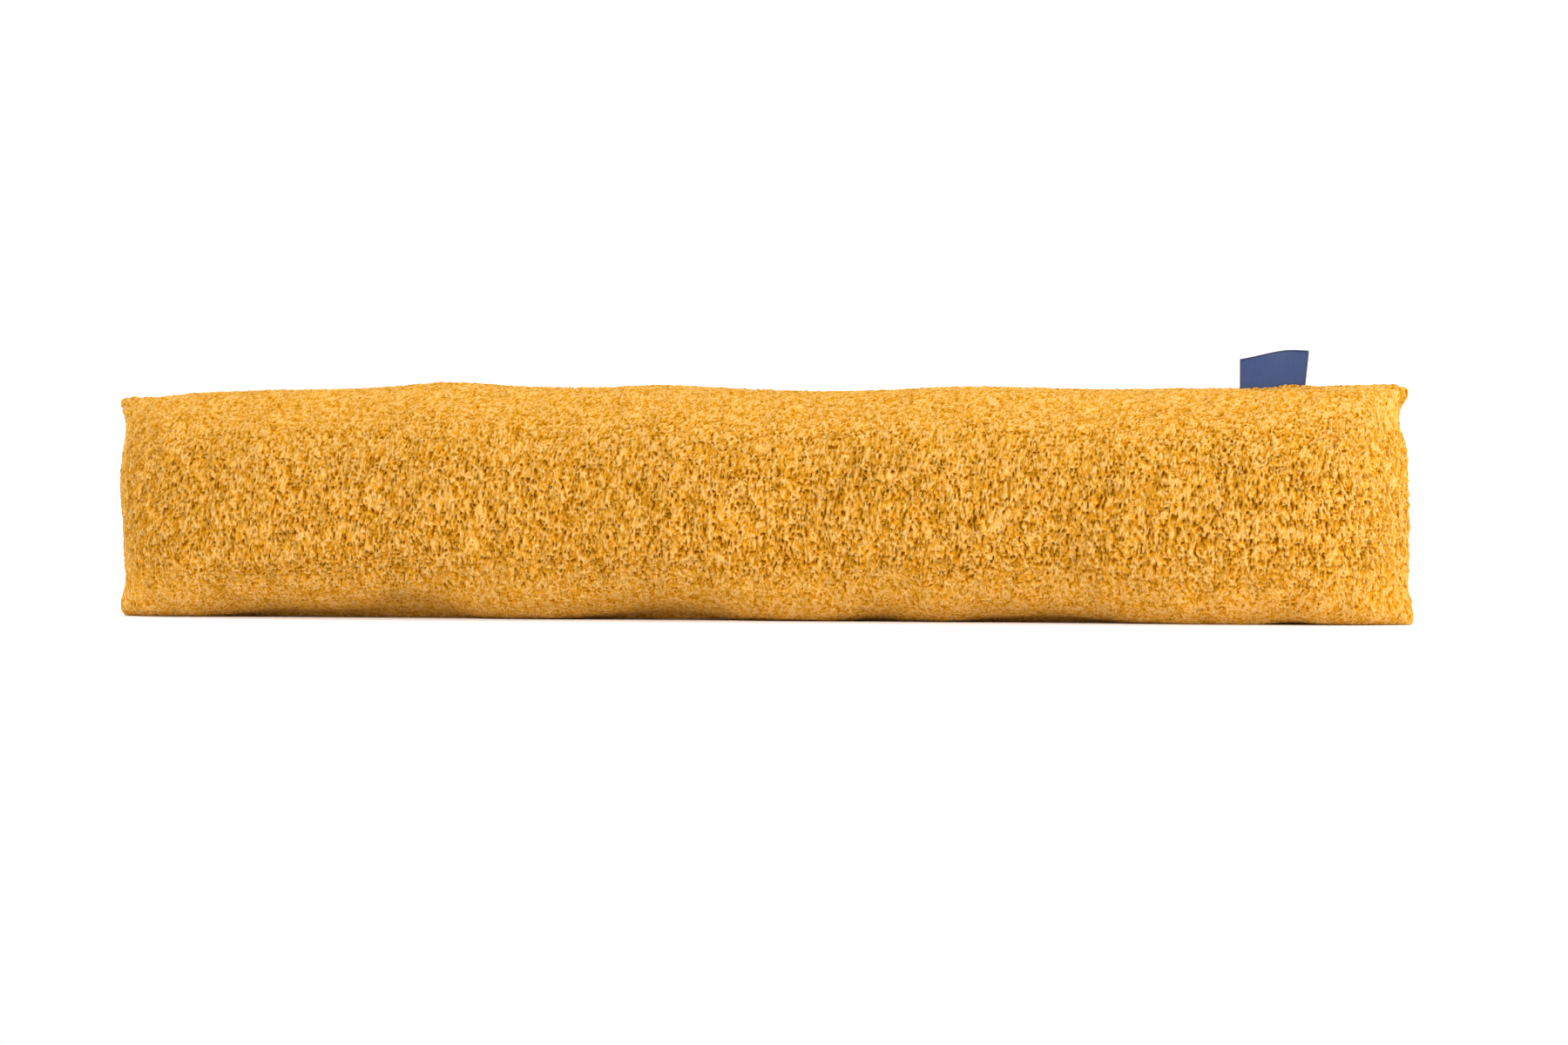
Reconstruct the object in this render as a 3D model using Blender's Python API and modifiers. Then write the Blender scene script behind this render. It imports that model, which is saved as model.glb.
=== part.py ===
"""A filled draught excluder in teddy fleece, standing on its long lower side, with a folded ribbon label.

Lengths are in metres. +X runs along the length to the end with the label, -Y is the front, +Z is up.
"""

import math

import bpy
import numpy as np

# Overall sizes
THICKNESS = 0.106
WIDEST_UP = 0.45
BASE_SQUARENESS = 3.0
TOP_ROUNDNESS = 2.15
END_DEPTH = 0.064
STATIONS = 72
END_STATIONS = 9
ROWS = 20

# Ribbon label
LABEL_WIDTH = 0.0445
LABEL_MIDDLE = 0.3625
LABEL_LEAF = 0.0010
LABEL_LEAF_SPACING = 0.0017
LABEL_CLEARANCE = 0.0004
LABEL_GATHER = 0.0032
LABEL_WAVE = 0.0014
LABEL_COLUMNS = 14
LABEL_LEAF_ROWS = 10
LABEL_FOLD_ROWS = 3
LABEL_FOLD = {
    "across": (0.00, 0.30, 0.65, 1.00),
    "height": (0.1694, 0.1724, 0.1746, 0.1732),
}

# Top seam: place along the length, height above the floor
TOP_SEAM = {
    "along": (-0.450, -0.428, -0.396, -0.340, -0.265, -0.205, -0.145, -0.095, -0.055, 0.005, 0.060,
              0.100, 0.150, 0.195, 0.250, 0.300, 0.345, 0.392, 0.430, 0.450),
    "height": (0.1528, 0.1516, 0.1546, 0.1560, 0.1568, 0.1602, 0.1566, 0.1556, 0.1570, 0.1538, 0.1518,
               0.1520, 0.1538, 0.1530, 0.1512, 0.1514, 0.1510, 0.1518, 0.1524, 0.1504),
}

# Under side: its level along the length before the floor flattens what would sink below it
UNDER_SIDE = {
    "along": (-0.450, -0.390, -0.352, -0.318, -0.282, -0.232, -0.198, -0.165, -0.120, -0.086, -0.036,
              -0.006, 0.020, 0.072, 0.101, 0.142, 0.172, 0.222, 0.258, 0.285, 0.450),
    "level": (-0.0042, -0.0036, 0.0016, 0.0040, 0.0034, 0.0050, 0.0032, -0.0022, -0.0026, 0.0014, 0.0044,
              0.0012, -0.0034, -0.0034, 0.0014, -0.0030, 0.0006, 0.0028, 0.0004, -0.0040, -0.0042),
}

# Half thickness of each panel along the length, as a share of the full half thickness
FULLNESS = {
    "along": (-0.450, -0.390, -0.310, -0.240, -0.170, -0.100, -0.030, 0.040, 0.110, 0.180, 0.250,
              0.320, 0.390, 0.450),
    "front": (1.000, 0.985, 1.015, 0.975, 1.010, 0.995, 1.020, 0.965, 1.010, 0.975, 1.000,
              1.030, 0.990, 1.000),
    "back": (1.000, 1.010, 0.970, 1.015, 0.985, 1.015, 0.980, 1.010, 0.975, 1.015, 0.985,
             0.995, 1.015, 1.000),
}

# Shallow dents in the panels: side (-1 front, 1 back), place, half lengths of the dent, depth
DENTS = {
    "side": (-1, -1, -1, -1, 1, 1, 1),
    "along": (-0.372, -0.185, 0.078, 0.232, -0.290, 0.010, 0.300),
    "up": (0.098, 0.045, 0.058, 0.050, 0.060, 0.080, 0.055),
    "half_length": (0.030, 0.045, 0.026, 0.032, 0.040, 0.036, 0.034),
    "half_height": (0.042, 0.030, 0.048, 0.034, 0.045, 0.042, 0.040),
    "depth": (0.0030, 0.0022, 0.0030, 0.0028, 0.0030, 0.0026, 0.0028),
}

# End seams: height above the floor, place along the length
END_SEAMS = {
    "height": (0.000, 0.010, 0.022, 0.040, 0.065, 0.090, 0.114, 0.128, 0.140, 0.148, 0.158),
    "left": (-0.4484, -0.4488, -0.4434, -0.4446, -0.4452, -0.4480, -0.4470, -0.4448, -0.4464, -0.4492,
             -0.4484),
    "right": (0.4516, 0.4512, 0.4472, 0.4474, 0.4476, 0.4472, 0.4460, 0.4416, 0.4430, 0.4472,
              0.4466),
}


def smooth(x, at, values):
    """Values between the rows of a table, on a cubic curve that passes each row with the mean slope."""
    at = np.array(at, float)
    values = np.array(values, float)
    steps = np.diff(values) / np.diff(at)
    slopes = np.concatenate([steps[:1], (steps[1:] + steps[:-1]) / 2, steps[-1:]])
    x = np.clip(x, at[0], at[-1])
    i = np.clip(np.searchsorted(at, x) - 1, 0, len(at) - 2)
    width = at[i + 1] - at[i]
    t = (x - at[i]) / width
    rise = values[i] * (1 + 2 * t) * (1 - t) ** 2 + values[i + 1] * t**2 * (3 - 2 * t)
    return rise + width * t * (1 - t) * (slopes[i] * (1 - t) - slopes[i + 1] * t)


def places_along():
    """Shares of the length from 0 to 1, close together at the two blunt ends."""
    length = END_SEAMS["right"][4] - END_SEAMS["left"][4]
    turns = np.linspace(0, math.pi / 2, END_STATIONS + 1)
    end = END_DEPTH / length * (1 - np.cos(turns))
    middle = np.linspace(end[-1], 1 - end[-1], STATIONS + 1)[1:-1]
    return np.concatenate([end, middle, 1 - end[::-1]])


def filled(share, turn, side):
    """Points of one filled panel: share runs along the length, turn from the bottom seam at -1 to the top at 1.

    The section is squarer below its widest height and rounder above it, the floor flattens what would
    sink under it, and the thickness closes to nothing at the end seams.
    """
    left = END_SEAMS["left"][4]
    length = END_SEAMS["right"][4] - left
    along = left + length * share
    power = np.where(turn < 0, BASE_SQUARENESS, TOP_ROUNDNESS)
    out = np.cos(turn * math.pi / 2) ** (2 / power)
    rise = np.sign(turn) * np.abs(np.sin(turn * math.pi / 2)) ** (2 / power)
    under = smooth(along, UNDER_SIDE["along"], UNDER_SIDE["level"])
    top = smooth(along, TOP_SEAM["along"], TOP_SEAM["height"])
    widest = under + WIDEST_UP * (top - under)
    up = np.where(turn < 0, widest + rise * (widest - under), widest + rise * (top - widest))
    up = np.maximum(up, 0)
    nearness = np.minimum(share, 1 - share) * length / END_DEPTH
    closing = np.sqrt(1 - (1 - np.clip(nearness, 0, 1)) ** 2)
    panel = "front" if side < 0 else "back"
    wide = THICKNESS / 2 * smooth(along, FULLNESS["along"], FULLNESS[panel])
    for i in range(len(DENTS["side"])):
        if DENTS["side"][i] == side:
            away = ((along - DENTS["along"][i]) / DENTS["half_length"][i]) ** 2
            away = away + ((up - DENTS["up"][i]) / DENTS["half_height"][i]) ** 2
            wide = wide - DENTS["depth"][i] * np.exp(-away)
    drawn_left = smooth(up, END_SEAMS["height"], END_SEAMS["left"]) - left
    drawn_right = smooth(up, END_SEAMS["height"], END_SEAMS["right"]) - left - length
    near_left = np.clip(1 - share * length / END_DEPTH, 0, 1) ** 2
    near_right = np.clip(1 - (1 - share) * length / END_DEPTH, 0, 1) ** 2
    along = along + drawn_left * near_left + drawn_right * near_right
    return along, side * wide * out * closing, up


def material(name, colour, roughness):
    made = bpy.data.materials.new(name)
    made.use_nodes = True
    shader = made.node_tree.nodes["Principled BSDF"]
    shader.inputs["Base Color"].default_value = (*colour, 1)
    shader.inputs["Roughness"].default_value = roughness
    shader.inputs["Metallic"].default_value = 0
    return made


def grid(name, columns, rows):
    """A flat grid of unit squares, with its column and row numbers as shares from 0 to 1."""
    bpy.ops.mesh.primitive_grid_add(x_subdivisions=columns, y_subdivisions=rows, size=2)
    made = bpy.context.object
    made.name = name
    made.data.name = name
    flat = np.empty(len(made.data.vertices) * 3)
    made.data.vertices.foreach_get("co", flat)
    flat = flat.reshape(-1, 3)
    return made, (flat[:, 0] + 1) / 2, flat[:, 1]


def put_points(made, x, y, z):
    made.data.vertices.foreach_set("co", np.stack([x, y, z], axis=1).ravel())
    made.data.update()


def build_cover():
    """Front and back panels, joined at the seams all round and filled."""
    shares = places_along()
    panels = []
    for side in (-1, 1):
        panel, column, turn = grid("panel", len(shares) - 1, ROWS)
        share = shares[np.rint(column * (len(shares) - 1)).astype(int)]
        put_points(panel, *filled(share, turn, side))
        if side > 0:
            panel.data.flip_normals()
        panels.append(panel)
    front, back = panels
    bpy.ops.object.select_all(action="DESELECT")
    back.select_set(True)
    front.select_set(True)
    bpy.context.view_layer.objects.active = front
    bpy.ops.object.join()
    weld = front.modifiers.new("Seams", "WELD")
    weld.merge_threshold = 0.00002
    front.name = "filled_cover"
    front.data.name = "filled_cover"
    front.data.materials.append(material("Mustard teddy fleece", (0.82, 0.43, 0.07), 0.95))
    return front


def build_label():
    """One ribbon, up the front leaf, over the fold and down the back leaf, standing on the top seam.

    The seam gathers its end a little, and its leaves wave slightly from side to side.
    """
    made, column, turn = grid("ribbon_label", LABEL_COLUMNS, 2 * (LABEL_LEAF_ROWS + LABEL_FOLD_ROWS))
    straight = LABEL_LEAF_ROWS / (LABEL_LEAF_ROWS + LABEL_FOLD_ROWS)
    rise = 1 - np.abs(turn)
    leaf = np.clip(rise / straight, 0, 1)
    bend = np.clip((rise - straight) / (1 - straight), 0, 1) * math.pi / 2
    along = LABEL_MIDDLE + (column - 0.5) * LABEL_WIDTH - LABEL_GATHER * column**2 * (1 - leaf)
    root = smooth(along, TOP_SEAM["along"], TOP_SEAM["height"]) + LABEL_CLEARANCE
    fold = smooth(column, LABEL_FOLD["across"], LABEL_FOLD["height"])
    radius = LABEL_LEAF_SPACING / 2
    up = root + leaf * (fold - root) + radius * np.sin(bend)
    lean = LABEL_WAVE * np.sin(column * 5) * leaf
    put_points(made, along, np.sign(turn) * radius * np.cos(bend) + lean, up)
    thicken = made.modifiers.new("Leaf thickness", "SOLIDIFY")
    thicken.thickness = LABEL_LEAF
    thicken.offset = 0
    made.data.materials.append(material("Navy satin ribbon", (0.035, 0.075, 0.22), 0.38))
    return made


def main():
    for old in list(bpy.data.objects):
        bpy.data.objects.remove(old)
    cover = build_cover()
    label = build_label()
    origin = bpy.data.objects.new("draught_excluder", None)
    collection = bpy.data.collections.new("Draught excluder")
    bpy.context.scene.collection.children.link(collection)
    collection.objects.link(origin)
    for made in (cover, label):
        for owner in list(made.users_collection):
            owner.objects.unlink(made)
        collection.objects.link(made)
        made.parent = origin


main()
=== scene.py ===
"""The looks of a filled draught excluder in mustard teddy fleece, with a folded navy ribbon label.

Run as a script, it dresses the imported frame: a stuffed cover made by a short cloth simulation, the relief
of its pile as closed sheets over it, the ribbon, and a plain studio. All lengths are in metres.
"""

import math

import bpy
import numpy as np
from bpy.props import FloatProperty, IntProperty, PointerProperty, StringProperty
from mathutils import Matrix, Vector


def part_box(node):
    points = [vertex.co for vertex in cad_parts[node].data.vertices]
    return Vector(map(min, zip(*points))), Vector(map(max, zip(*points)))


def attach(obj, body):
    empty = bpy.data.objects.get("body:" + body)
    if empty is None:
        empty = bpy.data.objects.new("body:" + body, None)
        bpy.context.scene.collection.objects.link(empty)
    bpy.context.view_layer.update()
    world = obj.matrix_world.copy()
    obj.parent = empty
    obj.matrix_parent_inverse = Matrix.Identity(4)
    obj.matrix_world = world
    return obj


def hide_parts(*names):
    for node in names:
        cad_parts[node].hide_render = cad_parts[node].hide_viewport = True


bl_info = {
    "name": "Draught excluder",
    "version": (1, 0, 0),
    "blender": (4, 5, 0),
    "location": "3D View > Sidebar > Draught excluder",
    "description": "Builds a filled draught excluder in teddy fleece with a ribbon label",
    "category": "Object",
}

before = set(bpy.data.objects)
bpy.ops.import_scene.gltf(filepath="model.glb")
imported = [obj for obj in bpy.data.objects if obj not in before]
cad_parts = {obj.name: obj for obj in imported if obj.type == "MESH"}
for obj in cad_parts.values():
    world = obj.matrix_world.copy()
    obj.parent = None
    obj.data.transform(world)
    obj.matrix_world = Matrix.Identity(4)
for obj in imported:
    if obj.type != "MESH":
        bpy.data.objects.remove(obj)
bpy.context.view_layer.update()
BODY = "root"
COVER_NODE = "filled_cover"
RIBBON_NODE = "ribbon_label"
_, COVER_HIGH = (np.array(corner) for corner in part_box(COVER_NODE))
RIBBON_LOW, RIBBON_HIGH = (np.array(corner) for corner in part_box(RIBBON_NODE))
# Place along X of the pile that stands highest against the ribbon, and how far that reaches each way
RIBBON_PILE = RIBBON_LOW[0] + 0.74 * (RIBBON_HIGH[0] - RIBBON_LOW[0])
RIBBON_PILE_REACH = 0.010

# Where the cover's lower edges arch off the floor: place along X, reach and height of each arch
LIFTS = (
    (-0.215, 0.030, 0.005),
    (-0.020, 0.045, 0.0022),
    (0.124, 0.020, 0.0022),
    (0.379, 0.015, 0.0020),
)

# Share of the pile's height by which the backing lies inside the solid, and frames of its simulation
DRAWN_IN = 0.8
SWELL_FRAMES = 20

# Where the pile is pressed, as shares of the cover's height: brushed over the rim, and low on the sides
RIM = (0.50, 0.97)
FOOT = (0.085, 0.30)
MOST_PRESSED = 0.8

# Relief of the pile. Single fibres, under 0.1 mm thick, are too fine to show, so it is drawn as tufts
# about 1 mm wide. HANG shortens heights in the pattern, which makes the tufts about 3 mm long.
CREST_SIZE = 0.0010
SMALL_SIZE = 0.0008
CLUMP_SPACING = 0.006
CLUMP_REACH = 0.62
DRIFT_SIZE = 0.007
DRIFT = 0.0035
HANG = 0.36
CREST_SHARE = 0.60
SMALL_SHARE = 0.36
CLUMP_SHARE = 0.04
PLATEAU = 0.65
LOWEST_PILE = 0.1
LEAN = 0.5

# The pile at the seams: width of the strip to each side of the seam, and size of its uneven fuzz
SEAM_STRIP = (0.002, 0.007)
FUZZ_SIZE = 0.0013

# The closed sheets of pile: pieces along the length, grid steps in a backing square, depth of the inner skin
PIECES = 4
FRONT_DIVISIONS = 5
BACK_DIVISIONS = 3
INNER_SKIN = 0.0005
LOWEST = 0.0003

# Patterns of the fleece, counted to the metre: tufts 3.3 mm apart and strands 1.1 mm apart, which stand for
# fibres too fine to show, over a drift 22 mm wide
TUFTS_TO_METRE = 300
STRANDS_TO_METRE = 900
DRIFTS_TO_METRE = 45

# Threads of the satin, 0.45 mm apart, which is coarser than real ones so that they show
THREADS_TO_METRE = 2200

# The ribbon: grid steps across, up one leaf and over half the fold, then how far the seam gathers its right
# end, the waves of its ends and its leaves, and how far the fold dips at its left and right
RIBBON_STEPS = (28, 14, 6)
RIBBON_GATHER = 0.0032
END_WAVE = 0.0006
LEAF_WAVE = 0.0014
LEFT_DIP = 0.0062
RIGHT_DIP = 0.0013

# The studio's paper: how far it runs to each side, to the front and to the wall, the bend and the top
PAPER_SIDE = 6.0
PAPER_FRONT = -6.0
PAPER_BEND_START = 4.8
PAPER_BEND = 1.2
PAPER_TOP = 4.5


class FleeceSettings(bpy.types.PropertyGroup):
    """Sizes and colours of the stuffed cover and its pile."""

    pile_depth: FloatProperty(
        name="Pile depth", description="Height of the pile above the backing",
        default=0.0033, min=0.001, max=0.02, unit="LENGTH",
    )
    weave_size: FloatProperty(
        name="Backing mesh size", description="Edge of a square of the backing cloth",
        default=0.0045, min=0.003, max=0.01, unit="LENGTH",
    )
    pressure: FloatProperty(name="Fill pressure", description="Push of the fill on the cover", default=4.0)
    most_swell: FloatProperty(
        name="Most swell", description="How far the fill may move a point of the cover",
        default=0.003, min=0, max=0.03, unit="LENGTH",
    )
    ribbon_pile: FloatProperty(
        name="Pile by the ribbon", description="Extra height of the pile that stands against the ribbon",
        default=0.0034, min=0, max=0.01, unit="LENGTH",
    )
    crushed: FloatProperty(
        name="Crushed pile", description="Depth of the pile that is crushed against the floor",
        default=0.0005, min=0.0002, max=0.005, unit="LENGTH",
    )
    seed: IntProperty(name="Seed", description="Number that fixes the unevenness of the pile", default=7)
    # The four stops of the ramp up the pile's height are painted light: painted shade deep between the tufts,
    # lightening to a painted highlight on the tips.
    root_shade_colour: StringProperty(name="Root colour", description="Deep between the tufts", default="#A86205")
    low_colour: StringProperty(name="Low colour", description="A third of the way up", default="#D0880D")
    high_colour: StringProperty(name="High colour", description="Two thirds of the way up", default="#ECA632")
    tip_highlight_colour: StringProperty(name="Tip colour", description="On the tips", default="#FCC46E")


class RibbonSettings(bpy.types.PropertyGroup):
    """Sizes and colours of the folded ribbon label."""

    thickness: FloatProperty(
        name="Ribbon thickness", description="Thickness of one leaf", default=0.00045, unit="LENGTH",
    )
    leaf_spacing: FloatProperty(
        name="Leaf spacing", description="Distance between the two leaves' middles", default=0.0018,
        unit="LENGTH",
    )
    tuck: FloatProperty(
        name="Tuck", description="How far the ends go down into the pile", default=0.0045, unit="LENGTH",
    )
    # The darker colour of the woven edge down both sides; along the fold the same colour is painted shade
    # where the ribbon bends over.
    selvedge_and_fold_shade_colour: StringProperty(name="Edge colour", description="The firmer woven edge", default="#101C3C")
    thread_colour: StringProperty(name="Thread colour", description="The satin threads", default="#304A83")


class StageSettings(bpy.types.PropertyGroup):
    """Where the camera stands."""

    azimuth: FloatProperty(
        name="Camera azimuth", description="Turn of the camera round the object towards +X",
        default=math.radians(16.3), subtype="ANGLE",
    )
    distance: FloatProperty(
        name="Camera distance", description="Level distance", default=2.623, unit="LENGTH",
    )
    aside: FloatProperty(name="Camera aside", description="Step to the right", default=0.0324, unit="LENGTH")
    eye: FloatProperty(name="Camera height", description="Height of the lens", default=0.0668, unit="LENGTH")


def linear(hex_colour):
    """A colour written as sRGB hex, turned to the linear values that shaders use."""
    values = np.array([int(hex_colour[i : i + 2], 16) for i in (1, 3, 5)]) / 255
    low = values / 12.92
    high = ((values + 0.055) / 1.055) ** 2.4
    return tuple(float(v) for v in np.where(values <= 0.04045, low, high))


def add_node(tree, kind, settings=None, links=None, **values):
    """Adds a node: settings go to its properties, values to its inputs by name, links join its inputs."""
    node = tree.nodes.new(kind)
    for key, value in (settings or {}).items():
        setattr(node, key, value)
    for key, value in values.items():
        node.inputs[key.replace("_", " ")].default_value = value
    for key, source in (links or {}).items():
        tree.links.new(source, node.inputs[key])
    return node


def new_material(name):
    """An empty material and its node tree."""
    made = bpy.data.materials.new(name)
    made.use_nodes = True
    made.node_tree.nodes.clear()
    return made, made.node_tree


def mesh_object(name, points, faces_by_size, material, smooth=True):
    """An object from an array of points and a list of face arrays, each with one number of corners."""
    mesh = bpy.data.meshes.new(name)
    corners = np.concatenate([faces.ravel() for faces in faces_by_size])
    sizes = np.concatenate([np.full(len(faces), faces.shape[1]) for faces in faces_by_size])
    mesh.vertices.add(len(points))
    mesh.vertices.foreach_set("co", np.ascontiguousarray(points, np.float32).ravel())
    mesh.loops.add(len(corners))
    mesh.loops.foreach_set("vertex_index", corners.astype(np.int32))
    mesh.polygons.add(len(sizes))
    mesh.polygons.foreach_set("loop_start", (np.cumsum(sizes) - sizes).astype(np.int32))
    mesh.polygons.foreach_set("use_smooth", np.full(len(sizes), smooth))
    mesh.update(calc_edges=True)
    mesh.validate()
    mesh.materials.append(material)
    made = bpy.data.objects.new(name, mesh)
    bpy.context.scene.collection.objects.link(made)
    return made


def read_vectors(items, name):
    """A vector of each vertex or face, such as its place or normal, as rows of an array."""
    flat = np.empty(len(items) * 3, np.float32)
    items.foreach_get(name, flat)
    return flat.reshape(-1, 3).astype(float)


def write_points(mesh, points):
    """Moves the mesh's vertices to these points."""
    mesh.vertices.foreach_set("co", points.astype(np.float32).ravel())
    mesh.update()


def apply_modifiers(made):
    """The object's mesh as its modifiers leave it, with the modifiers gone."""
    graph = bpy.context.evaluated_depsgraph_get()
    mesh = bpy.data.meshes.new_from_object(made.evaluated_get(graph))
    made.modifiers.clear()
    made.data = mesh
    return mesh


def unit(vectors):
    """Each vector divided by its length."""
    return vectors / np.maximum(np.linalg.norm(vectors, axis=-1, keepdims=True), 1e-12)


def ease(x, start, end):
    """0 before start, 1 after end, and a smooth curve between."""
    t = np.clip((x - start) / (end - start), 0, 1)
    return t * t * (3 - 2 * t)


def noise(points, size, seed):
    """Smooth unevenness from 0 to 1: random values on a lattice of this size, blended between its points."""
    table = np.random.default_rng(seed).random(4096)
    place = points / size
    cell = np.floor(place).astype(np.int64)
    t = place - cell
    t = t * t * (3 - 2 * t)
    total = np.zeros(len(points))
    for corner in np.ndindex(2, 2, 2):
        at = cell + np.array(corner)
        share = np.prod(np.where(np.array(corner) == 1, t, 1 - t), axis=1)
        total += share * table[lattice_number(at)]
    return total


def lattice_number(cell):
    """A fixed number from 0 to 4095 for each lattice cell, well mixed."""
    mixed = (cell[:, 0] * 73856093) ^ (cell[:, 1] * 19349663) ^ (cell[:, 2] * 83492791)
    return (mixed ^ (mixed >> 13)) & 4095


def clumps(points, size, seed):
    """For each point, the way to the nearest clump middle, and three random shares that its clump holds.

    Clump middles are one random point in each cell of a lattice.
    """
    table = np.random.default_rng(seed).random((4096, 6))
    cell = np.floor(points / size).astype(np.int64)
    best = np.full(len(points), np.inf)
    way = np.zeros_like(points)
    shares = np.zeros((len(points), 3))
    for step in np.ndindex(3, 3, 3):
        at = cell + np.array(step) - 1
        drawn = table[lattice_number(at)]
        to = (at + drawn[:, :3]) * size - points
        far = (to**2).sum(axis=1)
        nearer = far < best
        best = np.where(nearer, far, best)
        way = np.where(nearer[:, None], to, way)
        shares = np.where(nearer[:, None], drawn[:, 3:], shares)
    return way, shares


def fleece_material(settings):
    """Teddy fleece: knitted polyester with a raised pile, dyed mustard. The eye gets matt, fluffy tufts.

    Fibres scatter the light, so nothing shines. The colour follows the height of the pile, with fine noise
    added, the same noise that drives the bump, and all of it is painted light: it deepens to a burnt orange
    at the roots and in the noise's hollows, painted shade of light that has passed through more dyed fibre,
    and lightens towards the tips, a painted highlight.
    """
    made, tree = new_material("Mustard teddy fleece")
    rise = add_node(tree, "ShaderNodeAttribute", {"attribute_name": "rise"})
    tone = add_node(tree, "ShaderNodeAttribute", {"attribute_name": "tone"})
    place = add_node(tree, "ShaderNodeTexCoord").outputs["Object"]
    bend = add_node(tree, "ShaderNodeTexNoise", links={"Vector": place}, Scale=DRIFTS_TO_METRE, Detail=1)
    slanted = add_node(
        tree,
        "ShaderNodeVectorMath",
        {"operation": "MULTIPLY_ADD"},
        links={0: bend.outputs["Color"], 2: place},
    )
    slanted.inputs[1].default_value = (0.012, 0.006, 0.004)
    hanging = add_node(tree, "ShaderNodeMapping", links={"Vector": slanted.outputs[0]}, Scale=(1, 1, 0.42))
    strands = add_node(
        tree,
        "ShaderNodeTexNoise",
        links={"Vector": hanging.outputs["Vector"]},
        Scale=STRANDS_TO_METRE,
        Detail=2,
        Roughness=0.6,
    )
    tufts = add_node(
        tree,
        "ShaderNodeTexNoise",
        links={"Vector": hanging.outputs["Vector"]},
        Scale=TUFTS_TO_METRE,
        Detail=1,
    )
    relief = add_node(
        tree,
        "ShaderNodeMath",
        {"operation": "MULTIPLY_ADD"},
        links={0: tufts.outputs["Fac"], 2: strands.outputs["Fac"]},
    )
    relief.inputs[1].default_value = 0.8
    # The bump's noise also moves the colour along the ramp: painted shade in its hollows, painted highlight
    # on its tops.
    depth = add_node(
        tree,
        "ShaderNodeMapRange",
        links={"Value": relief.outputs[0]},
        From_Min=0.7,
        From_Max=1.1,
        To_Min=-0.3,
        To_Max=0.3,
    )
    level = add_node(
        tree, "ShaderNodeMath", {"operation": "ADD"}, links={0: rise.outputs["Fac"], 1: depth.outputs[0]}
    )
    # Painted light: the ramp runs from painted shade at the roots to a painted highlight on the tips.
    ramp = add_node(tree, "ShaderNodeValToRGB", links={"Fac": level.outputs[0]})
    ramp.color_ramp.elements[0].color = (*linear(settings.root_shade_colour), 1)
    ramp.color_ramp.elements[1].color = (*linear(settings.tip_highlight_colour), 1)
    for share, colour in ((0.35, settings.low_colour), (0.7, settings.high_colour)):
        ramp.color_ramp.elements.new(share).color = (*linear(colour), 1)
    shade = add_node(
        tree, "ShaderNodeMapRange", links={"Value": tone.outputs["Fac"]}, To_Min=0.95, To_Max=1.02
    )
    tinted = add_node(
        tree, "ShaderNodeHueSaturation", links={"Color": ramp.outputs["Color"], "Value": shade.outputs[0]}
    )
    bump = add_node(
        tree, "ShaderNodeBump", links={"Height": relief.outputs[0]}, Strength=1.0, Distance=0.0030
    )
    shader = add_node(
        tree,
        "ShaderNodeBsdfPrincipled",
        links={"Base Color": tinted.outputs["Color"], "Normal": bump.outputs["Normal"]},
        Roughness=0.9,
    )
    shader.inputs["Specular IOR Level"].default_value = 0.0
    add_node(tree, "ShaderNodeOutputMaterial", links={"Surface": shader.outputs["BSDF"]})
    return made


def satin_material(settings):
    """Satin ribbon: polyester woven in a tape. The eye gets a soft gloss over fine upright threads.

    A firmer woven edge runs down both sides, darker than the rest. The same darker colour along the fold is
    painted shade where the ribbon bends over.
    """
    made, tree = new_material("Navy satin ribbon")
    edge = add_node(tree, "ShaderNodeAttribute", {"attribute_name": "edge"})
    place = add_node(tree, "ShaderNodeTexCoord").outputs["Object"]
    upright = add_node(tree, "ShaderNodeMapping", links={"Vector": place}, Scale=(1, 1, 0.12))
    threads = add_node(
        tree,
        "ShaderNodeTexNoise",
        links={"Vector": upright.outputs["Vector"]},
        Scale=THREADS_TO_METRE,
        Detail=1,
    )
    # Darker near the sides, the real woven edge, and near the fold, painted shade of the bend.
    woven = add_node(
        tree,
        "ShaderNodeMapRange",
        links={"Value": edge.outputs["Fac"]},
        From_Min=0.0009,
        From_Max=0.0015,
        To_Min=0,
        To_Max=1,
    )
    uneven = add_node(
        tree, "ShaderNodeMath", {"operation": "MULTIPLY_ADD"}, links={0: threads.outputs["Fac"]}
    )
    uneven.inputs[1].default_value = 0.5
    uneven.inputs[2].default_value = 0.25
    shade = add_node(
        tree, "ShaderNodeMath", {"operation": "MULTIPLY"}, links={0: woven.outputs[0], 1: uneven.outputs[0]}
    )
    ramp = add_node(tree, "ShaderNodeValToRGB", links={"Fac": shade.outputs[0]})
    ramp.color_ramp.elements[0].color = (*linear(settings.selvedge_and_fold_shade_colour), 1)
    ramp.color_ramp.elements[1].color = (*linear(settings.thread_colour), 1)
    bump = add_node(
        tree, "ShaderNodeBump", links={"Height": shade.outputs[0]}, Strength=0.5, Distance=0.00025
    )
    shader = add_node(
        tree,
        "ShaderNodeBsdfPrincipled",
        links={"Base Color": ramp.outputs["Color"], "Normal": bump.outputs["Normal"]},
        Roughness=0.42,
        Sheen_Weight=0.2,
    )
    add_node(tree, "ShaderNodeOutputMaterial", links={"Surface": shader.outputs["BSDF"]})
    return made


def flatness(points, normal):
    """How far the pile is pressed flat, from 0 to 1.

    It adds a share for the rim, one for the foot, and one for the under side near the floor.
    """
    height = points[:, 2] / COVER_HIGH[2]
    rim = ease(height, *RIM)
    foot = 1 - ease(height, *FOOT)
    under = ease(-normal[:, 2], 0.35, 0.9) * (1 - ease(points[:, 2], 0.006, 0.014))
    return np.clip(0.85 * rim + 0.85 * foot + 0.6 * under, 0, 1)


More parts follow.
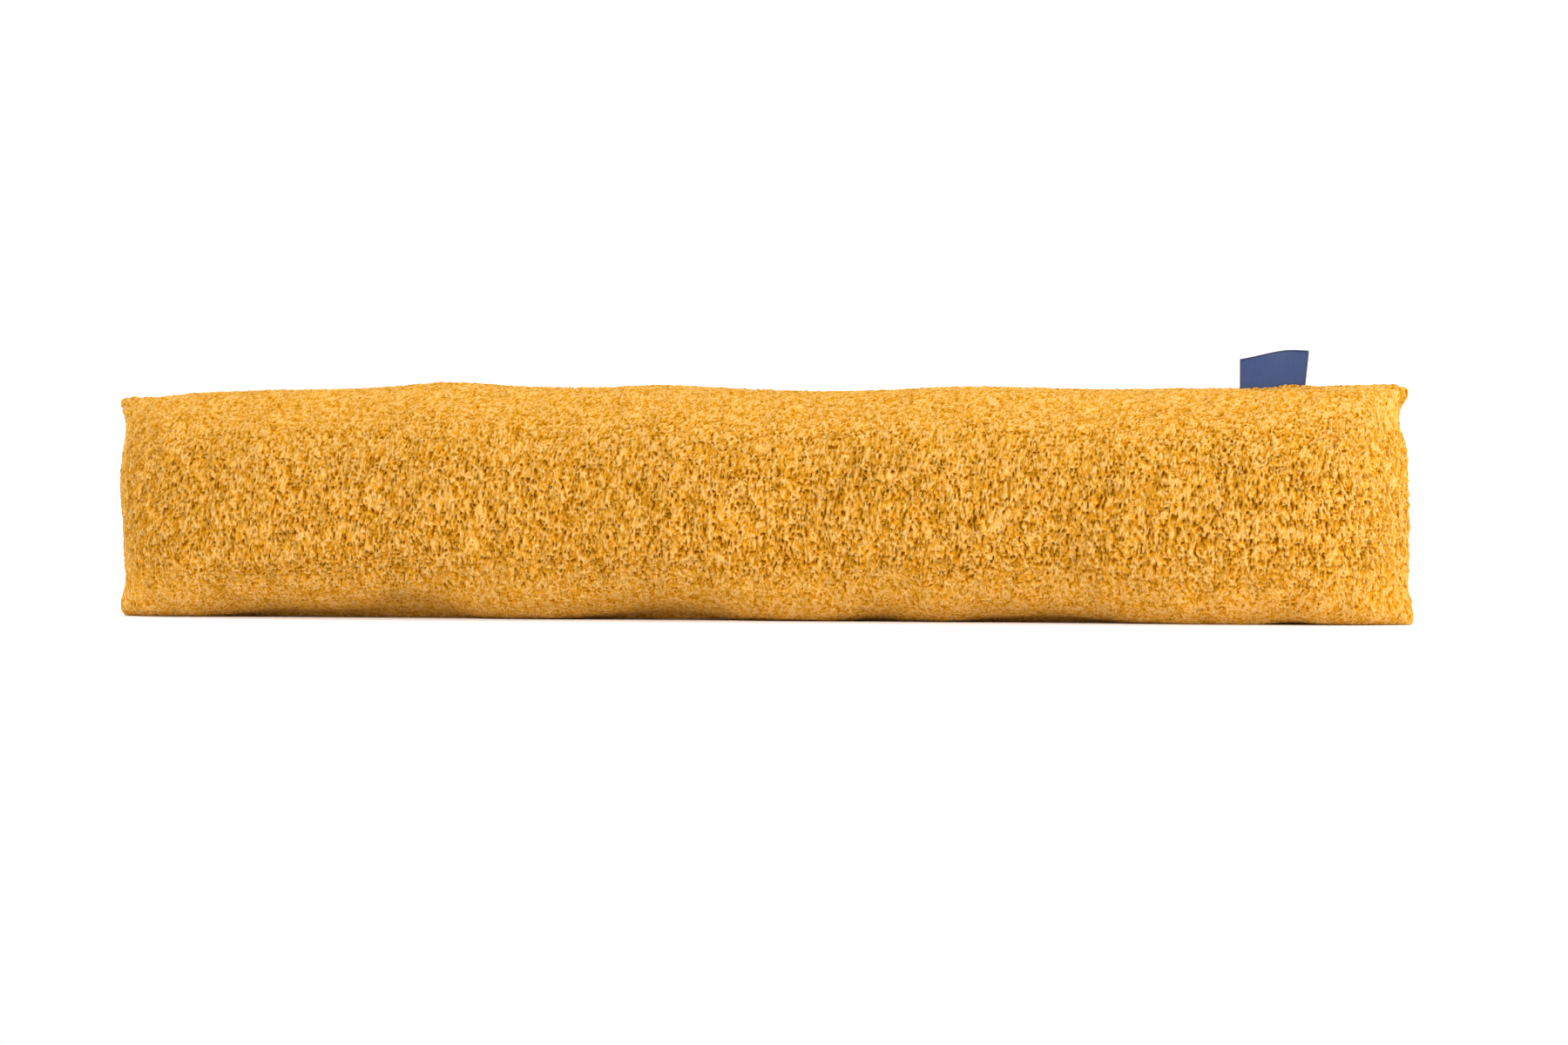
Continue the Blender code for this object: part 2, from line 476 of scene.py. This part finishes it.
def pile_height(points, normal, settings):
    """How far the pile stands above the backing: its full depth, less what presses it."""
    return settings.pile_depth * (1 - MOST_PRESSED * flatness(points, normal))


def ear_share(points, start, end):
    """1 at the four corner ears and 0 away from them. Start and end are distances along X from the middle."""
    along = ease(np.abs(points[:, 0]), start, end)
    return along * ease(np.abs(points[:, 2] / COVER_HIGH[2] - 0.5), 0.36, 0.46)


def filled_backing(settings):
    """The backing cloth of the stuffed cover, as a closed mesh that lies inside the solid.

    A copy of the solid is remeshed in even squares and drawn in along its normals by most of the height of
    the pile, less near the flat seams and ears. A short cloth simulation under the fill's pressure swells
    its faces and leaves the seams where they are. The floor then flattens its under side, and at each of the
    lifts the lower front and back edges rise by a bell curve along X.
    """
    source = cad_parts[COVER_NODE].data.copy()
    backing = bpy.data.objects.new("cover_backing", source)
    bpy.context.scene.collection.objects.link(backing)
    weld = backing.modifiers.new("Join loose faces", "WELD")
    weld.merge_threshold = 0.00002
    remesh = backing.modifiers.new("Even squares", "REMESH")
    remesh.mode = "VOXEL"
    remesh.voxel_size = settings.weave_size
    mesh = apply_modifiers(backing)
    start = read_vectors(mesh.vertices, "co")
    normal = read_vectors(mesh.vertices, "normal")
    from_seam = np.abs(start[:, 1])
    depth = DRAWN_IN * pile_height(start, normal, settings)
    ear = ear_share(start, 0.40, 0.44)
    depth = np.minimum(depth, 0.0024 - 0.0021 * ear + 0.12 * from_seam)
    start = start - normal * depth[:, None]
    write_points(mesh, start)
    swell(backing, settings)
    moved = read_vectors(backing.data.vertices, "co") - start
    far = np.linalg.norm(moved, axis=1)
    free = ease(from_seam, 0.004, 0.030) * ease(start[:, 2], 0.012, 0.045)
    most = 0.0003 + settings.most_swell * free
    start = start + moved * np.minimum(1, most / np.maximum(far, 1e-9))[:, None]
    base = ease(-normal[:, 2], 0.45, 0.9) * (1 - ease(start[:, 2], 0.012, 0.020))
    base = base * (1 - ease(from_seam, 0.002, 0.015))
    start[:, 2] = start[:, 2] * (1 - base) + settings.crushed * base
    start[:, 2] = np.maximum(start[:, 2], settings.crushed)
    free = (1 - ease(start[:, 2], 0.004, 0.03)) * ease(from_seam, 0.012, 0.028)
    for place, reach, lift in LIFTS:
        start[:, 2] += lift * np.exp(-(((start[:, 0] - place) / reach) ** 2)) * free
    write_points(backing.data, start)
    return backing


def swell(backing, settings):
    """Runs the cloth simulation on the backing and leaves its last state in the mesh."""
    cloth = backing.modifiers.new("Fill", "CLOTH")
    cloth.settings.quality = 4
    cloth.settings.use_pressure = True
    cloth.settings.uniform_pressure_force = settings.pressure
    cloth.settings.effector_weights.gravity = 0
    cloth.point_cache.frame_start = 1
    cloth.point_cache.frame_end = SWELL_FRAMES
    for step in range(1, SWELL_FRAMES + 1):
        bpy.context.scene.frame_set(step)
    apply_modifiers(backing)
    bpy.context.scene.frame_set(1)


def divided_squares(points, normal, squares, divisions):
    """Each backing square as a grid of smaller ones that curves with the corners' normals.

    A grid point is the blend of its square's corners, moved three quarters of the way to the same blend
    of its own shadows on the corners' tangent planes. Points within a micrometre are made one. It gives the
    points, their normals, and for each square the numbers of its grid points.
    """
    step = np.linspace(0, 1, divisions + 1)
    u, v = (way.ravel() for way in np.meshgrid(step, step, indexing="ij"))
    share = np.stack([(1 - u) * (1 - v), u * (1 - v), u * v, (1 - u) * v], axis=1)
    flat = np.einsum("gc,fcx->fgx", share, points[squares])
    off = np.einsum("fgcx,fcx->fgc", flat[:, :, None] - points[squares][:, None], normal[squares])
    flat -= 0.75 * np.einsum("gc,fgc,fcx->fgx", share, off, normal[squares])
    facing = unit(np.einsum("gc,fcx->fgx", share, normal[squares]))
    place = np.round(flat.reshape(-1, 3) * 1e6).astype(np.int64)
    key = (place[:, 0] * 2**20 + place[:, 1]) * 2**20 + place[:, 2]
    _, first, number = np.unique(key, return_index=True, return_inverse=True)
    return flat.reshape(-1, 3)[first], facing.reshape(-1, 3)[first], number.reshape(len(squares), -1)


def pile_relief(root, settings):
    """How high the pile stands at each point, from 0 to 1, and its tone.

    The height is the sum of the clumps' rounded tops, crests where a noise passes its middle value, and small
    unevenness, all on a pattern that drifts and hangs. It is stretched between its lowest and highest
    fiftieth and raised to a power under 1, which widens the tops. Tone blends each clump's own share with a
    slow noise.
    """
    drift = np.stack([noise(root, DRIFT_SIZE, settings.seed + n) for n in (11, 12, 13)], axis=1) - 0.5
    hanging = (root + DRIFT * drift) * [1, 1, HANG]
    way, share = clumps(hanging, CLUMP_SPACING, settings.seed + 1)
    top = 1 - np.minimum((way**2).sum(axis=1) / (CLUMP_REACH * CLUMP_SPACING) ** 2, 1)
    crest = 1 - np.abs(2 * noise(hanging, CREST_SIZE, settings.seed + 14) - 1)
    small = noise(hanging, SMALL_SIZE, settings.seed + 15)
    height = CLUMP_SHARE * top * (0.7 + 0.6 * share[:, 0]) + CREST_SHARE * crest + SMALL_SHARE * small
    low, high = np.quantile(height, [0.02, 0.98])
    height = np.clip((height - low) / (high - low), 0, 1) ** PLATEAU
    tone = 0.3 * share[:, 2] + 0.7 * noise(root, 0.05, settings.seed + 5)
    return height, tone


def raised(root, normal, height, settings):
    """The top of the pile: out along the normal by the relief, and down a little, because the pile hangs.

    It stands up more in uneven tufts along the seams, most at the ears, and against the front of the ribbon.
    """
    rise = pile_height(root, normal, settings) * (LOWEST_PILE + height)
    fuzz = noise(root, FUZZ_SIZE, settings.seed + 16)
    seam = (1 - ease(np.abs(root[:, 1]), *SEAM_STRIP)) * ease(root[:, 2], 0.010, 0.016)
    ear = ear_share(root, 0.420, 0.442)
    rise += settings.pile_depth * seam * (0.55 + 0.6 * ear) * fuzz
    by_ribbon = np.exp(-(((root[:, 0] - RIBBON_PILE) / RIBBON_PILE_REACH) ** 2)) * (root[:, 1] < 0.003)
    by_ribbon *= ease(root[:, 2], COVER_HIGH[2] - 0.014, COVER_HIGH[2] - 0.006)
    rise += settings.ribbon_pile * by_ribbon * (0.7 + 0.6 * fuzz)
    lie = -normal * -normal[:, 2:]
    lie[:, 2] -= 1
    down = LEAN * rise * ease(root[:, 2], 0.004, 0.03)
    points = root + normal * rise[:, None] + lie * down[:, None]
    points[:, 2] = np.maximum(points[:, 2], LOWEST)
    return points


def set_attribute(made, name, values):
    """Gives each point of the object a number that its material reads."""
    layer = made.data.attributes.new(name, "FLOAT", "POINT")
    layer.data.foreach_set("value", values.astype(np.float32).ravel())


class DRAUGHT_OT_cover(bpy.types.Operator):
    """Makes the stuffed cover's backing and the pile over it"""

    bl_idname = "draught.cover"
    bl_label = "Stuffed cover"

    def execute(self, context):
        settings = context.scene.draught_fleece
        backing = filled_backing(settings)
        fleece = fleece_material(settings)
        coarse = backing.data
        backing.data.materials.clear()
        backing.data.materials.append(fleece)
        coarse.polygons.foreach_set("use_smooth", np.full(len(coarse.polygons), True))
        count = len(coarse.vertices)
        # The backing gets a deep colour low on the ramp, the painted shade between the tufts.
        set_attribute(backing, "rise", np.full(count, 0.22))
        base = read_vectors(coarse.vertices, "co")
        base_normal = read_vectors(coarse.vertices, "normal")
        set_attribute(backing, "tone", noise(base, 0.01, settings.seed))
        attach(backing, BODY)
        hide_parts(COVER_NODE)
        corners = np.empty(len(coarse.loops), np.int32)
        coarse.loops.foreach_get("vertex_index", corners)
        squares = corners.reshape(-1, 4)
        middle = read_vectors(coarse.polygons, "center")
        ends = np.quantile(middle[:, 0], np.linspace(0, 1, PIECES + 1)[1:-1])
        quarter = np.searchsorted(ends, middle[:, 0])
        front = middle[:, 1] < 0
        for side, chosen, divisions in (("front", front, FRONT_DIVISIONS), ("back", ~front, BACK_DIVISIONS)):
            own = squares[chosen], quarter[chosen]
            self.pile(f"pile_{side}", base, base_normal, *own, divisions, fleece, settings)
        return {"FINISHED"}

    def pile(self, name, base, base_normal, squares, quarter, divisions, fleece, settings):
        """The pile of one side as four closed sheets: the relief outside, the backing's squares inside.

        An edge of a square that no other square of its sheet runs back along lies on the sheet's rim. There
        a face of the grid's points and two inner corners closes the sheet.
        """
        root, normal, grid = divided_squares(base, base_normal, squares, divisions)
        height, tone = pile_relief(root, settings)
        points = raised(root, normal, height, settings)
        row = divisions + 1
        cell = np.arange(row * row).reshape(row, row)
        small = np.stack([cell[:-1, :-1], cell[1:, :-1], cell[1:, 1:], cell[:-1, 1:]], axis=-1).reshape(-1, 4)
        rims = np.stack([cell[::-1, 0], cell[-1, ::-1], cell[:, -1], cell[0, :]])
        below = base - base_normal * INNER_SKIN
        # Painted light: the colour's level is the pile's height, lifted towards the tip colour where the pile
        # is pressed flat, which paints less shade between its flat tufts and a painted sheen along the rim.
        # The inner skin gets level 0, the root colour, the deepest painted shade.
        painted_light_level = height + 0.3 * flatness(root, normal) * (1 - height)
        rise = np.concatenate([painted_light_level, np.zeros(len(base))])
        shade = np.concatenate([tone, np.zeros(len(base))])
        for part in range(PIECES):
            inner = squares[quarter == part]
            fine = grid[quarter == part]
            ends = np.stack([inner, np.roll(inner, -1, axis=1)], axis=-1)
            ahead = ends[..., 0] * len(base) + ends[..., 1]
            back = ends[..., 1] * len(base) + ends[..., 0]
            square, side = np.nonzero(~np.isin(ahead, back))
            wall = np.concatenate([fine[square[:, None], rims[side]], len(root) + ends[square, side]], axis=1)
            faces = [np.concatenate([fine[:, small].reshape(-1, 4), len(root) + inner[:, ::-1]]), wall]
            used = np.unique(np.concatenate([f.ravel() for f in faces]))
            every = np.concatenate([points, below])[used]
            renumbered = [np.searchsorted(used, f) for f in faces]
            piece = mesh_object(f"{name}_{part + 1}", every, renumbered, fleece)
            set_attribute(piece, "rise", rise[used])
            set_attribute(piece, "tone", shade[used])
            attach(piece, BODY)


class DRAUGHT_OT_ribbon(bpy.types.Operator):
    """Makes the folded ribbon label that stands in the top seam"""

    bl_idname = "draught.ribbon"
    bl_label = "Ribbon label"

    def execute(self, context):
        settings = context.scene.draught_ribbon
        # A strip that runs up the front leaf, over the fold as half a circle, and down the back leaf
        columns, leaf_rows, fold_rows = RIBBON_STEPS
        rows = 2 * (leaf_rows + fold_rows)
        column, turn = np.meshgrid(np.linspace(0, 1, columns + 1), np.linspace(-1, 1, rows + 1))
        straight = leaf_rows / (leaf_rows + fold_rows)
        rise = 1 - np.abs(turn)
        leaf = np.clip(rise / straight, 0, 1)
        bend = np.clip((rise - straight) / (1 - straight), 0, 1) * math.pi / 2
        width = RIBBON_HIGH[0] - RIBBON_LOW[0]
        along = RIBBON_LOW[0] + width * column - RIBBON_GATHER * column**2 * (1 - leaf)
        root = RIBBON_LOW[2] - settings.tuck + END_WAVE * np.sin(column * 3)
        fold = RIBBON_HIGH[2] - LEFT_DIP * (1 - ease(column, -0.2, 0.75)) - RIGHT_DIP * ease(column, 0.7, 1.3)
        radius = settings.leaf_spacing / 2
        up = root + leaf * (fold - radius - root) + radius * np.sin(bend)
        lean = LEAF_WAVE * np.sin(column * 5) * leaf
        points = np.stack([along, np.sign(turn) * radius * np.cos(bend) + lean, up], axis=-1)
        number = np.arange(columns * (rows + 1) + rows + 1).reshape(rows + 1, columns + 1)
        faces = np.stack([number[:-1, :-1], number[:-1, 1:], number[1:, 1:], number[1:, :-1]], axis=-1)
        satin = satin_material(settings)
        ribbon = mesh_object("folded_ribbon", points.reshape(-1, 3), [faces.reshape(-1, 4)], satin)
        # Distance to the nearer side or to the fold, where the satin darkens: the woven edge at the sides,
        # painted shade at the fold.
        from_side = width * np.minimum(column, 1 - column)
        from_fold = fold - up
        set_attribute(ribbon, "edge", np.minimum(from_side, from_fold))
        thicken = ribbon.modifiers.new("Leaf thickness", "SOLIDIFY")
        thicken.thickness = settings.thickness
        thicken.offset = 0
        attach(ribbon, BODY)
        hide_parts(RIBBON_NODE)
        return {"FINISHED"}


class DRAUGHT_OT_stage(bpy.types.Operator):
    """Makes the floor, the lights and the camera"""

    bl_idname = "draught.stage"
    bl_label = "Studio"

    def execute(self, context):
        settings = context.scene.draught_stage
        # Paper that lies flat, bends up in a quarter circle and ends as a wall
        turns = np.linspace(0, math.pi / 2, 13)[1:]
        along = PAPER_BEND_START + PAPER_BEND * np.sin(turns)
        bend = np.stack([along, PAPER_BEND - PAPER_BEND * np.cos(turns)], axis=1)
        wall = (PAPER_BEND_START + PAPER_BEND, PAPER_TOP)
        profile = np.array([(PAPER_FRONT, 0.0), (PAPER_BEND_START, 0.0), *bend, wall])
        across = np.array([-PAPER_SIDE, PAPER_SIDE])
        points = np.array([[x, y, z] for y, z in profile for x in across])
        rows = np.arange(len(profile) - 1)[:, None] * 2
        faces = rows + np.array([0, 1, 3, 2])
        paper, tree = new_material("White studio paper")
        shader = add_node(tree, "ShaderNodeBsdfPrincipled", Roughness=0.95)
        shader.inputs["Base Color"].default_value = (0.95, 0.95, 0.95, 1)
        add_node(tree, "ShaderNodeOutputMaterial", links={"Surface": shader.outputs["BSDF"]})
        floor = mesh_object("studio_floor", points, [faces], paper)
        self.light("key", (2.0, -0.7, 0.8), (0.2, 0, 0.08), (1.2, 1.0), 39)
        self.light("fill", (-1.6, -1.8, 0.9), (0, 0, 0.08), (1.6, 1.2), 30)
        self.light("high", (0.9, -1.6, 1.9), (0.1, 0, 0.08), (2.4, 1.4), 15.5)
        self.light("low front", (0.5, -2.4, 0.5), (0, 0, 0.08), (2.2, 0.8), 3.5)
        self.light("backdrop", (-1.6, 1.0, 2.8), (-1.6, 4.0, 0.4), (5.0, 1.6), 280)
        world = bpy.data.worlds.new("Studio")
        context.scene.world = world
        world.use_nodes = True
        world.node_tree.nodes["Background"].inputs["Color"].default_value = (1, 1, 1, 1)
        world.node_tree.nodes["Background"].inputs["Strength"].default_value = 0.3
        turn = settings.azimuth
        back = np.array([math.sin(turn), -math.cos(turn), 0])
        right = np.array([math.cos(turn), math.sin(turn), 0])
        camera = bpy.data.objects.new("camera", bpy.data.cameras.new("camera"))
        camera.data.lens = 90
        camera.data.sensor_width = 36
        camera.data.shift_y = -3 / 1800
        camera.location = right * settings.aside + back * settings.distance + np.array([0, 0, settings.eye])
        camera.rotation_euler = (math.pi / 2, 0, turn)
        context.scene.collection.objects.link(camera)
        context.scene.camera = camera
        context.scene.view_settings.view_transform = "Standard"
        return {"FINISHED"}

    def light(self, name, place, target, size, power):
        """A soft box at a place, turned to a target."""
        lamp = bpy.data.lights.new(name, "AREA")
        lamp.shape = "RECTANGLE"
        lamp.size, lamp.size_y = size
        lamp.energy = power
        made = bpy.data.objects.new(name, lamp)
        aim = np.array(target) - np.array(place)
        flat = math.hypot(aim[0], aim[1])
        made.location = place
        made.rotation_euler = (math.atan2(flat, -aim[2]), 0, math.atan2(aim[1], aim[0]) - math.pi / 2)
        bpy.context.scene.collection.objects.link(made)


class DRAUGHT_PT_panel(bpy.types.Panel):
    """Lists the steps in the 3D view's sidebar"""

    bl_label = "Draught excluder"
    bl_space_type = "VIEW_3D"
    bl_region_type = "UI"
    bl_category = "Draught excluder"

    def draw(self, context):
        for step in (DRAUGHT_OT_cover, DRAUGHT_OT_ribbon, DRAUGHT_OT_stage):
            self.layout.operator(step.bl_idname)


CLASSES = (
    FleeceSettings,
    RibbonSettings,
    StageSettings,
    DRAUGHT_OT_cover,
    DRAUGHT_OT_ribbon,
    DRAUGHT_OT_stage,
    DRAUGHT_PT_panel,
)


def register():
    for made in CLASSES:
        bpy.utils.register_class(made)
    bpy.types.Scene.draught_fleece = PointerProperty(type=FleeceSettings)
    bpy.types.Scene.draught_ribbon = PointerProperty(type=RibbonSettings)
    bpy.types.Scene.draught_stage = PointerProperty(type=StageSettings)


def unregister():
    del bpy.types.Scene.draught_stage
    del bpy.types.Scene.draught_ribbon
    del bpy.types.Scene.draught_fleece
    for made in reversed(CLASSES):
        bpy.utils.unregister_class(made)


def main():
    register()
    bpy.ops.draught.cover()
    bpy.ops.draught.ribbon()
    bpy.ops.draught.stage()


if __name__ == "__main__":
    main()
